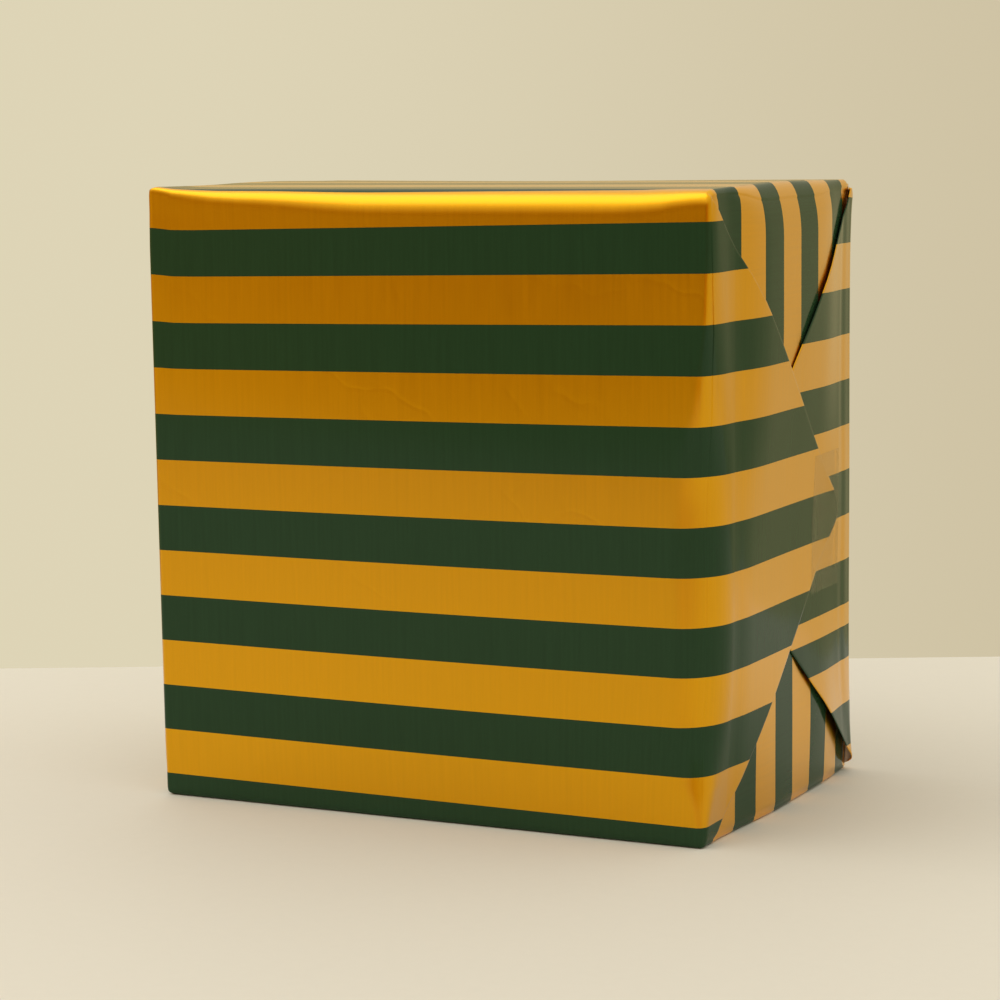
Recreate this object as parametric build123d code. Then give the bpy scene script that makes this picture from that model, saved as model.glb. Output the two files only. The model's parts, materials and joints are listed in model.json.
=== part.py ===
from build123d import *
import os

# A gift parcel: a corrugated carton with a glued seam and folded lids, closed with packing tape and
# wrapped in one sheet of paper, whose two open ends are folded like an envelope and taped.
# Millimetres. X runs along the parcel's width, Y from front to back, Z up. The origin is at the
# middle of the underside.

# Wrapped parcel, outside
WIDTH = 193.0
DEPTH = 125.0
HEIGHT = 198.0

# Sheet materials
PAPER = 0.12           # heavy gift wrap
BOARD = 1.5            # E-flute corrugated board
CLEAR_TAPE = 0.05
PACKING_TAPE = 0.06
CREASE_R = 2.0         # outer radius of the carton's creases

# Envelope ends of the wrap: how far the sheet runs past the carton, and where each flap comes to
OVERHANG = 113.0
FRONT_FLAP_REACH = 105.5
FRONT_FLAP_TIP = (87.5, 94.5)      # height of the two corners of the flap's cut edge
REAR_FLAP_REACH = 103.0
REAR_FLAP_TIP = (93.5, 98.5)
TIP_R = 2.0                        # rounding of those corners

# Lap seam of the sheet, on the back
LAP_EDGE_Z = 50.0      # cut edge of the outer layer
LAP = 30.0             # how far the sheet's two edges overlap

# Tape
TAPE_W = 25.0
FLAP_TAPE_LENGTH = 45.0
FLAP_TAPE_FROM_FRONT = 83.5
FLAP_TAPE_MID_Z = 88.0
SEAM_TAPE_LENGTH = 60.0
SEAM_TAPE_X = (-62.0, 0.0, 62.0)
PACKING_TAPE_W = 48.0
PACKING_TAPE_LEG = 45.0

# Carton details
FLAP_CLEARANCE = 1.0   # each lid flap is this much narrower than its opening, on each side
LID_GAP = 0.5          # between the meeting edges of the two outer flaps
INNER_FLAP = 58.0      # reach of the two inner flaps from the end walls
GLUE_TAB = 28.0

# Layers stacked on each end of the carton, from the inside outwards
TOP_TUCK, BOTTOM_TUCK, REAR_LOW_GUSSET, REAR_LOW, REAR_UP, FRONT_GUSSET, FRONT = range(7)
REAR_UP_GUSSET = REAR_LOW

# Faces of the parcel and of the carton
front_y = -DEPTH / 2
back_y = DEPTH / 2 - CLEAR_TAPE                     # outer layer of the lap
low_back_y = back_y - PAPER                         # inner layer of the lap
end_x = WIDTH / 2 - CLEAR_TAPE
carton_x = end_x - (FRONT + 1) * PAPER - PACKING_TAPE
carton_front_y = front_y + PAPER
carton_back_y = low_back_y - PAPER
carton_base_z = PAPER + PACKING_TAPE
carton_top_z = HEIGHT - PAPER - PACKING_TAPE
fold_r = CREASE_R + PAPER                           # outer radius of a fold in the sheet


def slab(x0, x1, y0, y1, z0, z1):
    return Box(x1 - x0, y1 - y0, z1 - z0, align=(Align.MIN,) * 3).moved(Location((x0, y0, z0)))


def level_x(level):
    """Outer face of a layer of the end stack."""
    return carton_x + PACKING_TAPE + (level + 1) * PAPER


# ---- Wrap: the tube round the carton -------------------------------------------------------------

def tube_panel(start, end, back, level, z_from=0.0, z_to=HEIGHT):
    """One panel of the tube, from the fold centred on start to the fold centred on end, in Y and Z,
    going round with the outside on the right. Each fold is shared at 45 degrees with the next
    panel. The panel stops where its fold over the end begins, which its layer there decides."""
    outer = RectangleRounded(back - front_y, HEIGHT, fold_r)
    inner = RectangleRounded(back - front_y - 2 * PAPER, HEIGHT - 2 * PAPER, fold_r - PAPER)
    ring = Pos((front_y + back) / 2, HEIGHT / 2) * (outer - inner)
    start, end = Vector(*start), Vector(*end)
    along = (end - start).normalized()
    out = Vector(along.Y, -along.X)
    far = 3 * fold_r
    corners = (start, start + (out - along) * far, end + (out + along) * far, end)
    wedge = make_face(Polyline(*corners, close=True))
    reach = level_x(level) - fold_r
    panel = extrude(Plane.YZ * (ring & wedge), 2 * reach).moved(Location((-reach, 0, 0)))
    return panel & slab(-WIDTH, WIDTH, -DEPTH, DEPTH, z_from, z_to)


def wrap_tube():
    front_in, back_in, low_back_in = front_y + fold_r, back_y - fold_r, low_back_y - fold_r
    base_in, top_in = fold_r, HEIGHT - fold_r
    return {
        "wrap_front_panel": tube_panel((front_in, top_in), (front_in, base_in), back_y, FRONT),
        "wrap_bottom_panel": tube_panel((front_in, base_in), (low_back_in, base_in), low_back_y, BOTTOM_TUCK),
        "wrap_back_lower_panel": tube_panel((low_back_in, base_in), (low_back_in, top_in), low_back_y,
                                            REAR_LOW, z_to=LAP_EDGE_Z + LAP),
        "wrap_back_upper_panel": tube_panel((back_in, base_in), (back_in, top_in), back_y,
                                            REAR_UP, z_from=LAP_EDGE_Z),
        "wrap_top_panel": tube_panel((back_in, top_in), (front_in, top_in), back_y, TOP_TUCK),
    }


# ---- Wrap: the envelope ends ---------------------------------------------------------------------

def fold(axis, centre, start, end, quadrant):
    """A fold of the sheet along an axis: a quarter of a tube, on the side that quadrant points to."""
    ring = Circle(fold_r) - Circle(fold_r - PAPER)
    tube = extrude(Plane(origin=tuple(start * a for a in axis), z_dir=axis) * ring, end - start)
    size = 2 * fold_r
    span = [sorted((0, size * side)) if side else (start, end) for side in quadrant]
    return (tube & slab(*span[0], *span[1], *span[2])).moved(Location(centre))


def end_layer(face, level):
    """A flat layer of the end stack, from a face drawn in Y and Z."""
    return extrude(Plane.YZ * face, PAPER).moved(Location((level_x(level) - PAPER, 0, 0)))


def tuck(level, z_from, z_to, fold_z, up):
    """The sheet's top or bottom overhang, turned flat against the end before the flaps."""
    x = level_x(level)
    y_from, y_to = front_y + fold_r, low_back_y - fold_r
    plate = slab(x - PAPER, x, y_from, y_to, z_from, z_to)
    return plate + fold((0, 1, 0), (x - fold_r, 0, fold_z), y_from, y_to, (1, 0, up))


def flap(corner_y, side, tip, reach, level, gusset_level, z_from=0.0, z_to=HEIGHT):
    """A side flap, folded in from the upright edge at corner_y towards side. It narrows to a blunt
    tip along two slanting folds, and the corner gussets lie under it, behind those folds. z_from
    and z_to are the sheet's edges at the lap seam."""
    tip_y = corner_y + side * reach
    corners = ((corner_y, 0), (corner_y, HEIGHT), (tip_y, tip[1]), (tip_y, tip[0]))
    outline = make_face(Polyline(*corners, close=True))
    outline = fillet([v for v in outline.vertices() if abs(v.X - tip_y) < 0.01], TIP_R)
    layers = end_layer(outline, level)
    split = sum(tip) / 2
    for corner_z, tip_z in ((HEIGHT, tip[1]), (0.0, tip[0])):
        if not z_from <= corner_z <= z_to:
            continue
        rise = abs(corner_z - tip_z)
        # the gusset's hidden edge is the slanting fold turned on by the fold's own angle
        lean = (reach ** 2 - rise ** 2) / (2 * reach * rise)
        hidden_y = corner_y + side * max(0.0, lean) * abs(corner_z - split)
        corners = ((corner_y, corner_z), (hidden_y, split), (tip_y, split), (tip_y, tip_z))
        layers += end_layer(make_face(Polyline(*corners, close=True)) & outline, gusset_level)
    y_pair = sorted((corner_y + side * fold_r, tip_y))
    low, high = max(z_from, fold_r), min(z_to, HEIGHT - fold_r)
    centre = (level_x(level) - fold_r, corner_y + side * fold_r, 0)
    upright = fold((0, 0, 1), centre, low, high, (1, -side, 0))
    return (layers & slab(0, WIDTH, *y_pair, low, high)) + upright


def end_parts():
    """Tucks, flaps and tape of the right-hand end."""
    tape_y = front_y + FLAP_TAPE_FROM_FRONT
    tape_z = (FLAP_TAPE_MID_Z - FLAP_TAPE_LENGTH / 2, FLAP_TAPE_MID_Z + FLAP_TAPE_LENGTH / 2)
    return {
        "top_tuck": tuck(TOP_TUCK, HEIGHT - OVERHANG, HEIGHT - fold_r, HEIGHT - fold_r, 1),
        "bottom_tuck": tuck(BOTTOM_TUCK, fold_r, OVERHANG, fold_r, -1),
        "rear_flap_lower": flap(low_back_y, -1, REAR_FLAP_TIP, REAR_FLAP_REACH, REAR_LOW, REAR_LOW_GUSSET,
                                z_to=LAP_EDGE_Z + LAP),
        "rear_flap_upper": flap(back_y, -1, REAR_FLAP_TIP, REAR_FLAP_REACH, REAR_UP, REAR_UP_GUSSET,
                                z_from=LAP_EDGE_Z),
        "front_flap": flap(front_y, 1, FRONT_FLAP_TIP, FRONT_FLAP_REACH, FRONT, FRONT_GUSSET),
        "flap_tape": slab(end_x, end_x + CLEAR_TAPE, tape_y, tape_y + TAPE_W, *tape_z),
    }


def seam_tapes():
    """Short strips of clear tape across the lap seam, as one group."""
    low = LAP_EDGE_Z - SEAM_TAPE_LENGTH / 2
    return [slab(x - TAPE_W / 2, x + TAPE_W / 2, back_y, back_y + CLEAR_TAPE, low, low + SEAM_TAPE_LENGTH)
            for x in SEAM_TAPE_X]


# ---- Carton --------------------------------------------------------------------------------------

def rounded_carton(grow):
    """The carton's creased outer shape, grown on its ends, top and base."""
    body = slab(-carton_x - grow, carton_x + grow, carton_front_y, carton_back_y,
                carton_base_z - grow, carton_top_z + grow)
    return fillet(body.edges(), CREASE_R + grow)


def carton_parts():
    y0, y1, z0, z1 = carton_front_y, carton_back_y, carton_base_z, carton_top_z
    middle_y = (y0 + y1) / 2
    lid = 2 * BOARD
    parts = {
        "carton_front_wall": slab(-carton_x, carton_x, y0, y0 + BOARD, z0 + BOARD, z1 - BOARD),
        "carton_back_wall": slab(-carton_x, carton_x, y1 - BOARD, y1, z0 + BOARD, z1 - BOARD),
        "carton_glue_tab": slab(carton_x - BOARD - GLUE_TAB, carton_x - BOARD, y1 - 2 * BOARD, y1 - BOARD,
                                z0 + lid + FLAP_CLEARANCE, z1 - lid - FLAP_CLEARANCE),
    }
    inner_y = (y0 + BOARD + FLAP_CLEARANCE, y1 - BOARD - FLAP_CLEARANCE)
    for name, sign in (("left", -1), ("right", 1)):
        wall_x = sorted((sign * carton_x, sign * (carton_x - BOARD)))
        flap_x = sorted((sign * carton_x, sign * (carton_x - INNER_FLAP)))
        parts[f"carton_{name}_wall"] = slab(*wall_x, y0 + BOARD, y1 - BOARD, z0 + lid, z1 - lid)
        parts[f"carton_{name}_top_flap"] = slab(*flap_x, *inner_y, z1 - lid, z1 - BOARD)
        parts[f"carton_{name}_bottom_flap"] = slab(*flap_x, *inner_y, z0 + BOARD, z0 + lid)
    half = carton_x - FLAP_CLEARANCE
    for place, low in (("top", z1 - BOARD), ("bottom", z0)):
        parts[f"carton_front_{place}_flap"] = slab(-half, half, y0, middle_y - LID_GAP / 2, low, low + BOARD)
        parts[f"carton_back_{place}_flap"] = slab(-half, half, middle_y + LID_GAP / 2, y1, low, low + BOARD)

    outer = rounded_carton(0)
    parts = {name: solid & outer for name, solid in parts.items()}
    skin = rounded_carton(PACKING_TAPE) - outer
    tape_y = (middle_y - PACKING_TAPE_W / 2, middle_y + PACKING_TAPE_W / 2)
    parts["carton_top_tape"] = skin & slab(-WIDTH, WIDTH, *tape_y, z1 - PACKING_TAPE_LEG, HEIGHT)
    parts["carton_bottom_tape"] = skin & slab(-WIDTH, WIDTH, *tape_y, 0, z0 + PACKING_TAPE_LEG)
    return parts


# ---- Files ---------------------------------------------------------------------------------------

def write(name, solids):
    export_step(Compound(children=list(solids)) if len(solids) > 1 else solids[0], f"parts/{name}.step")


def main():
    os.makedirs("parts", exist_ok=True)
    for name, shape in {**wrap_tube(), **carton_parts()}.items():
        write(name, shape.solids())
    for name, shape in end_parts().items():
        write(f"right_{name}", shape.solids())
        write(f"left_{name}", mirror(shape, about=Plane.YZ).solids())
    write("seam_tapes", seam_tapes())


main()
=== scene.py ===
import contextlib
import json
import math

import bmesh
import bpy
from mathutils import Matrix, Vector

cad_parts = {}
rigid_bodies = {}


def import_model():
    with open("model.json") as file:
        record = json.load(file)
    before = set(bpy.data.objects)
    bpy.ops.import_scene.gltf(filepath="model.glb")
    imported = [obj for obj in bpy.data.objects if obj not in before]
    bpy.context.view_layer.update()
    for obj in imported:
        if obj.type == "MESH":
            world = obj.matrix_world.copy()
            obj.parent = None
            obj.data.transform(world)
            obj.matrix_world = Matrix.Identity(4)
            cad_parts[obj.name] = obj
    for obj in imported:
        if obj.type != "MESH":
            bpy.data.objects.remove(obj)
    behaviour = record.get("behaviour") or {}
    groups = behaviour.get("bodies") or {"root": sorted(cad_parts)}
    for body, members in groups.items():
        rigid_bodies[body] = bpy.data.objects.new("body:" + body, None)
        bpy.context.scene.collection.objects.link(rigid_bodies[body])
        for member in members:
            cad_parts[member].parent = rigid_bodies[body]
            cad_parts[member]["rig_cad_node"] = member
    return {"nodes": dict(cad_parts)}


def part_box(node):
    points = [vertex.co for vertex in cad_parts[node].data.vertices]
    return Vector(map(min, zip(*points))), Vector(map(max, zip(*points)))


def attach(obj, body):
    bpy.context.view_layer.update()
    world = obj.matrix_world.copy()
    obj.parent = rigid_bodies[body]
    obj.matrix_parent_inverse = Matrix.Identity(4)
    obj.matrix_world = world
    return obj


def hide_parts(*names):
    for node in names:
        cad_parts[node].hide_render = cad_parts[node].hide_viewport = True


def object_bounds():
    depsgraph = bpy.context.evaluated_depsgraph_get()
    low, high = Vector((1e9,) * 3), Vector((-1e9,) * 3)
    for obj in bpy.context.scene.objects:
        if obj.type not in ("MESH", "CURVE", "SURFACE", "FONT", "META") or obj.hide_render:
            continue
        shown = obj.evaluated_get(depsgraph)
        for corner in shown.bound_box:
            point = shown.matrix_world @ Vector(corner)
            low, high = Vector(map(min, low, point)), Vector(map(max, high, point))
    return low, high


bl_info = {
    "name": "Striped gift box",
    "version": (1, 0, 0),
    "blender": (4, 5, 0),
    "location": "3D View > Sidebar > Gift box",
    "description": "Wraps a small carton in striped foil paper, tapes it shut and lights it",
    "category": "Add Mesh",
}

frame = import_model()
CAD_LOW, CAD_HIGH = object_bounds()
MM = 0.001

# The parcel's sides in millimetres, measured from its front left bottom corner
WIDTH, DEPTH, HEIGHT = (round((high - low) / MM, 2) for low, high in zip(CAD_LOW, CAD_HIGH))
SIDES = (WIDTH, DEPTH, HEIGHT)
MIDDLE = Vector((WIDTH / 2, DEPTH / 2, 0))

RIGHT, LEFT = 1, -1


class PaperSettings(bpy.types.PropertyGroup):
    gold: bpy.props.FloatVectorProperty(
        name="Gold", description="Foil stripe", subtype="COLOR", default=(0.8, 0.4, 0.004)
    )
    green: bpy.props.FloatVectorProperty(
        name="Green", description="Ink stripe", subtype="COLOR", default=(0.021, 0.06, 0.026)
    )
    back: bpy.props.FloatVectorProperty(
        name="Back", description="Unprinted side", subtype="COLOR", default=(0.75, 0.72, 0.66)
    )
    thickness: bpy.props.FloatProperty(
        name="Thickness", description="Thickness of the sheet", unit="LENGTH", default=0.15 * MM
    )


class TapeSettings(bpy.types.PropertyGroup):
    clear: bpy.props.FloatVectorProperty(
        name="Clear tape", description="Tint of the clear tape",
        subtype="COLOR", default=(0.52, 0.48, 0.28),
    )
    packing: bpy.props.FloatVectorProperty(
        name="Packing tape", description="Colour of the carton's tape",
        subtype="COLOR", default=(0.36, 0.2, 0.07),
    )
    width: bpy.props.FloatProperty(
        name="Width", description="Width of the clear tape", unit="LENGTH", default=25 * MM
    )


class CartonSettings(bpy.types.PropertyGroup):
    board: bpy.props.FloatVectorProperty(
        name="Board", description="Colour of the corrugated board",
        subtype="COLOR", default=(0.3, 0.16, 0.065),
    )


class StudioSettings(bpy.types.PropertyGroup):
    table: bpy.props.FloatVectorProperty(
        name="Table", description="Colour of the table",
        subtype="COLOR", default=(0.775, 0.77, 0.71),
    )
    # Painted shade: the wall the camera sees is lit on the left and painted darker on the right
    lit_wall_left: bpy.props.FloatVectorProperty(
        name="Wall, left", description="Wall behind, on the left",
        subtype="COLOR", default=(0.73, 0.66, 0.47),
    )
    shaded_wall_right: bpy.props.FloatVectorProperty(
        name="Wall, right", description="Wall behind, on the right",
        subtype="COLOR", default=(0.61, 0.53, 0.36),
    )
    bright_side: bpy.props.FloatVectorProperty(
        name="Bright side", description="Light off the walls",
        subtype="COLOR", default=(0.66, 0.56, 0.3),
    )
    warm_side: bpy.props.FloatVectorProperty(
        name="Warm side", description="Light from the room on the left",
        subtype="COLOR", default=(0.5, 0.3, 0.03),
    )
    dim_side: bpy.props.FloatVectorProperty(
        name="Dim side", description="Light from the room in front",
        subtype="COLOR", default=(0.4, 0.13, 0.0),
    )
    ceiling: bpy.props.FloatVectorProperty(
        name="Ceiling", description="Light from above",
        subtype="COLOR", max=4, default=(1.02, 0.96, 0.85),
    )
    key: bpy.props.FloatProperty(
        name="Key light", description="Power of the softbox", unit="POWER", default=4.6
    )
    lens: bpy.props.FloatProperty(
        name="Lens", description="Focal length in mm on a 36 mm sensor", default=106.5
    )


# ---------------------------------------------------------------- the soft form of the parcel
# Lengths are in millimetres, up to where in_frame() makes them the frame's metres.


def ease(t):
    """Runs smoothly from 0 to 1."""
    t = min(max(t, 0.0), 1.0)
    return t * t * (3 - 2 * t)


def rise(x, start, end):
    """Runs smoothly from 0 to 1 between two positions."""
    return ease((x - start) / (end - start))


def fall(x, start, end):
    """Runs smoothly from 1 to 0 between two positions."""
    return 1 - rise(x, start, end)


def bell(x, middle, reach):
    """A smooth hump of height 1 about its middle."""
    return math.exp(-(((x - middle) / reach) ** 2))


def arch(x, length):
    """Half a sine wave along a side: 0 at both ends and 1 in the middle."""
    return max(math.sin(math.pi * min(max(x / length, 0), 1)), 0)


def fade(x, length):
    """Dies away from 1 once x is past 0."""
    return math.exp(-max(x, 0) / length)


def between(points, x):
    """Runs smoothly through (position, value) pairs."""
    if x <= points[0][0]:
        return points[0][1]
    for (x0, v0), (x1, v1) in zip(points, points[1:]):
        if x <= x1:
            return v0 + (v1 - v0) * rise(x, x0, x1)
    return points[-1][1]


NEAREST_SOFTNESS, NEAREST_POWER = 0.6, 3


def nearest(pairs):
    """Blends (distance, value) pairs so that the nearest one counts most."""
    total = weight = 0.0
    for distance, value in pairs:
        w = 1.0 / (max(distance, 0.0) + NEAREST_SOFTNESS) ** NEAREST_POWER
        total += w * value
        weight += w
    return total / weight


# How far the rounding of an even edge reaches in along an axis from a side of the parcel, by the
# face that it reaches into
LEFT_X_REACH = {"front": 1.8, "rear": 4.0, "top": 4.0, "base": 3.0}
RIGHT_X_REACH = {"rear": 2.0, "base": 1.6}
FRONT_Y_REACH = {"left": 2.2, "base": 1.6}
REAR_Y_REACH = {"left": 6.0, "right": 8.0, "top": 4.5, "base": 3.0}
TOP_Z_REACH = {"left": 6.0, "rear": 4.5}
BASE_Z_REACH = {"left": 4.0, "right": 4.0, "front": 1.6, "rear": 3.0}
# The same for edges that change along their length, as (position, reach) pairs
RIGHT_INTO_FRONT = ((0, 2.5), (40, 13.0), (100, 13.0), (140, 5.0), (158, 2.4), (185, 1.8))
FRONT_INTO_RIGHT = ((0, 3.0), (40, 17.0), (112, 17.0), (150, 13.0), (188, 5.5))
RIGHT_INTO_TOP = ((18, 2.5), (42, 5.2), (80, 5.2), (118, 2.2))
TOP_INTO_RIGHT = ((18, 6.0), (42, 17.0), (80, 17.0), (118, 8.0))
TOP_FRONT_ROLL = ((2, 1.6), (30, 5.0), (80, 8.0), (165, 8.0), (190, 5.0))


def edge_reach(x, y, z):
    """How far the rounding of the nearest soft edges reaches along X, Y and Z at a place."""
    to_face = {"left": x, "front": y, "base": z}
    to_face |= {"right": WIDTH - x, "rear": DEPTH - y, "top": HEIGHT - z}
    roll = between(TOP_FRONT_ROLL, x)
    along_x, along_y, along_z = LEFT_X_REACH, REAR_Y_REACH, BASE_Z_REACH
    if x > WIDTH / 2:
        front, top = between(RIGHT_INTO_FRONT, z), between(RIGHT_INTO_TOP, y)
        along_x = {**RIGHT_X_REACH, "front": front, "top": top}
    if y < DEPTH / 2:
        along_y = {**FRONT_Y_REACH, "right": between(FRONT_INTO_RIGHT, z), "top": roll}
    if z > HEIGHT / 2:
        along_z = {**TOP_Z_REACH, "right": between(TOP_INTO_RIGHT, y), "front": roll}
    return [
        nearest((to_face[face], reach) for face, reach in reaches.items())
        for reaches in (along_x, along_y, along_z)
    ]


NOTHING = 1e-9


def round_off(p):
    """Pulls a place on or near the sharp parcel in to the soft one, layer for layer."""
    reach = edge_reach(*p)
    high = [side - r for side, r in zip(SIDES, reach)]
    core = Vector(min(max(c, a), b) for c, a, b in zip(p, reach, high))
    offset = Vector((c - q) / r for c, q, r in zip(p, core, reach))
    longest, length = max(abs(c) for c in offset), offset.length
    if length < NOTHING:
        return Vector(p)
    share = longest / length
    return Vector(q + r * c * share for q, r, c in zip(core, reach, offset))


LEFT_STAND, LEFT_LEAN = 0.6, 1.1


def right_swell(y, z):
    """How far the right end stands out past the carton's end plane."""
    belly = 3.0 * rise(y, 12, 40) * fall(y, 88, 118) * rise(z, 72, 157)
    hollow = -2.9 * fall(y, 10, 60) * fall(z, 5, 65)
    knee = 1.1 * bell(y, 91, 14) * bell(z, 28, 22)
    tip = 0.6 * bell(y, 105, 14) * bell(z, 95, 25)
    heel = -0.9 * rise(y, 105, 125) * fall(z, 0, 25)
    return belly + hollow + knee + tip + heel


def left_swell(y, z):
    """How far the left end stands out. It leans out towards the top."""
    belly = 1.4 * rise(y, 5, 45) * fall(y, 80, 120) * rise(z, 0, 60) * fall(z, HEIGHT - 40, HEIGHT)
    return belly + LEFT_STAND + LEFT_LEAN * z / HEIGHT


def front_swell(x, z):
    """How far the front bulges, most at mid height."""
    return 1.7 * arch(x, WIDTH) ** 0.8 * rise(z, 0, 40) * fall(z, 110, HEIGHT)


def back_swell(x, z):
    """How far the back bulges. It also stands out towards the right."""
    belly = 1.2 * arch(x, WIDTH) * arch(z, HEIGHT)
    return belly + 1.0 * rise(x, 0, WIDTH)


def top_swell(x, y):
    """How far the top bulges between its edges."""
    dome = 0.9 * rise(y, 0, 60) * fall(y, DEPTH - 60, DEPTH)
    sag = -0.45 * rise(y, 0, DEPTH) * bell(x, 80, 70)
    peak = 1.0 * fall(x, 0, 12) * fall(y, 0, 40)
    return dome + sag + peak


def settle(p):
    """The soft parcel's place for a place on the sharp one: rounded edges, then slack faces."""
    x, y, z = p
    q = round_off(p)
    q.x += right_swell(y, z) * rise(x, WIDTH / 2, WIDTH)
    q.x -= left_swell(y, z) * fall(x, 0, WIDTH / 2)
    q.y -= front_swell(x, z) * fall(y, 0, DEPTH / 2)
    q.y += back_swell(x, z) * rise(y, DEPTH / 2, DEPTH)
    q.z += top_swell(x, y) * rise(z, HEIGHT / 2, HEIGHT)
    return q


def in_frame(p):
    """From millimetres off the front left bottom corner to the frame's metres."""
    return (Vector(p) - MIDDLE) * MM


# ---------------------------------------------------------------- the printed sheet, laid out flat
# S runs along the parcel's width from its left edge. T runs round it: 0 is the front's top edge,
# the top lies before it and the underside after it.

SEAM_Z = 50.0
LAP = 30.0
T_SEAM = -(DEPTH + HEIGHT - SEAM_Z)
T_BACK_TOP = -DEPTH
T_BASE = HEIGHT
T_BACK_BASE = HEIGHT + DEPTH
T_INNER = T_BACK_BASE + SEAM_Z + LAP

# Along the right edge, (T, stripes from the front's first one)
STRIPES_RIGHT = (
    (T_SEAM, -18.487), (T_BACK_TOP, -8.62), (0.0, -0.62), (T_BASE, 12.425), (T_BASE + 83, 17.95),
    (T_BASE + 97.5, 18.95), (T_BASE + 110, 19.95), (T_BACK_BASE, 21.37), (T_INNER, 26.8),
)
# At the left edge the sheet lies a little askew
SKEW_LEFT = ((0.0, -0.277), (T_BASE, 0.075))
STRIPE = 15.0


def straight(points, x):
    """Runs in straight lines through (position, value) pairs, and on past the last."""
    for (x0, v0), (x1, v1) in zip(points, points[1:]):
        if x <= x1 or (x1, v1) == points[-1]:
            return v0 + (v1 - v0) * (x - x0) / (x1 - x0)


def stripe_count(s, t):
    """Stripes between here and the front's first one: an even floor is green, an odd one gold."""
    skew = straight(SKEW_LEFT, min(max(t, 0.0), T_BASE))
    return straight(STRIPES_RIGHT, t) + skew * (1 - min(max(s / WIDTH, 0.0), 1.0))


def steps(*runs):
    """Cut positions: each run is (from, to, pieces)."""
    cuts = []
    for start, end, pieces in runs:
        cuts += [start + (end - start) * i / pieces for i in range(pieces)]
    return cuts + [runs[-1][1]]


# Where the sheet is creased to follow the parcel: finer by the edges
S_CUTS = steps((0, 3, 6), (3, 9, 5), (9, 177, 22), (177, 189, 12), (189, WIDTH, 12))
TOP_CUTS = steps((T_BACK_TOP, -115, 10), (-115, -19, 12), (-19, -9, 8), (-9, 0, 9))
FRONT_CUTS = steps((0, 12, 14), (12, 180, 22), (180, 190, 6), (190, T_BASE, 7))
BASE_CUTS = steps((T_BASE, 204, 6), (204, 216, 8), (216, 313, 12), (313, T_BACK_BASE, 10))
UPPER_BACK_CUTS = steps((T_SEAM, T_SEAM + 2, 2), (T_SEAM + 2, -137, 18), (-137, T_BACK_TOP, 12))
LOWER_BACK_CUTS = steps((T_BACK_BASE, 333, 10), (333, 373, 6), (373, 374, 2), (374, T_INNER, 3))
END_DEPTHS = steps((0, 4, 8), (4, 18, 14), (18, 106, 20))


def end_cuts(side):
    """Where the sheet is creased past one end of the parcel, from left to right."""
    if side == RIGHT:
        return [WIDTH + depth for depth in END_DEPTHS]
    return [-depth for depth in reversed(END_DEPTHS)]


def select_only(obj):
    bpy.ops.object.select_all(action="DESELECT")
    obj.select_set(True)
    bpy.context.view_layer.objects.active = obj


@contextlib.contextmanager
def editing(obj):
    """Edits an object's mesh, and no other."""
    select_only(obj)
    bpy.ops.object.mode_set(mode="EDIT")
    yield
    bpy.ops.object.mode_set(mode="OBJECT")


def flat_sheet(name, s_cuts, t_cuts):
    """A rectangle of paper, in millimetres, creased at the given places."""
    nx, ny = len(s_cuts) - 1, len(t_cuts) - 1
    bpy.ops.mesh.primitive_grid_add(x_subdivisions=nx, y_subdivisions=ny, size=2)
    sheet = bpy.context.object
    sheet.name = name
    for v in sheet.data.vertices:
        i, j = round((v.co.x + 1) / 2 * nx), round((v.co.y + 1) / 2 * ny)
        v.co = (s_cuts[i], t_cuts[j], 0)
    return sheet


def cut(sheet, point, normal, clear=False):
    """Scores the sheet along a line, or trims off what lies beyond it."""
    with editing(sheet):
        bpy.ops.mesh.select_all(action="SELECT")
        bpy.ops.mesh.bisect(
            plane_co=(*point, 0), plane_no=(*normal, 0), clear_outer=clear, threshold=1e-4
        )


# ---------------------------------------------------------------- the folded ends


class Fold:
    """A fold line in the flat sheet of a flap, through a place at a depth past the parcel's edge
    and a height, along a run and a rise. Out is 1 or -1, for the side that is turned under."""

    def __init__(self, depth, height, run, rise, out):
        length = math.hypot(run, rise)
        self.point = (depth, height)
        self.out = (out * rise / length, -out * run / length)

    def past(self, d, h):
        """How far a place lies beyond the fold."""
        return (d - self.point[0]) * self.out[0] + (h - self.point[1]) * self.out[1]

    def mirrored(self, d, h):
        """Where a place beyond the fold comes to."""
        g = 2 * self.past(d, h)
        return d - g * self.out[0], h - g * self.out[1]


FRONT_UPPER = Fold(0, HEIGHT, 1, -0.986, -1)
FRONT_LOWER = Fold(8.4, 0, 1, 0.91, 1)
REAR_UPPER = Fold(0, HEIGHT, 1, -0.888, -1)
REAR_LOWER = Fold(0, 1.0, 1, 0.83, 1)
# How deep the flaps are, and how near the upright edge their turned-in gussets come
FRONT_TIP, REAR_TIP = 105.5, 100.0
FRONT_GUSSET_STOP, REAR_GUSSET_STOP = 22.0, 0.6
BOTTOM_TUCK_TIP = 88
# Creases scored beside each fold line, by their place past it
FOLD_SCORES = (-0.9, -0.3, -0.08, 0.0, 0.08, 0.3)
# The flap's own rounding at a fold, and how far the gusset lies under it, by the place past it
ROUND_AT_FOLD = ((-0.3, 0.0), (-0.08, 0.1), (0, 0.22))
GUSSET_UNDER = ((0, 0.0), (0.3, 0.22), (20, 0.3))
GUSSET_BASE = 0.22
GUSSET_TUCK_IN = 0.4

# The tucks lie this far inside the parcel's length, and the flaps come out over them
END_SINK = 0.15
# The lower back lies this far under the upper one
LOWER_LEVEL = 0.22
EDGE_LIFT = 0.35
FRONT_EDGE_EASE, REAR_EDGE_EASE = 20, 6
# Flaps and panels meet evenly over this much of the flap, and this much of the panel
FLAP_BLEND, PANEL_BLEND = 10, 20
FLAP_START = 6
REAR_EAR, REAR_FOOT = 0.9, 1.5
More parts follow.
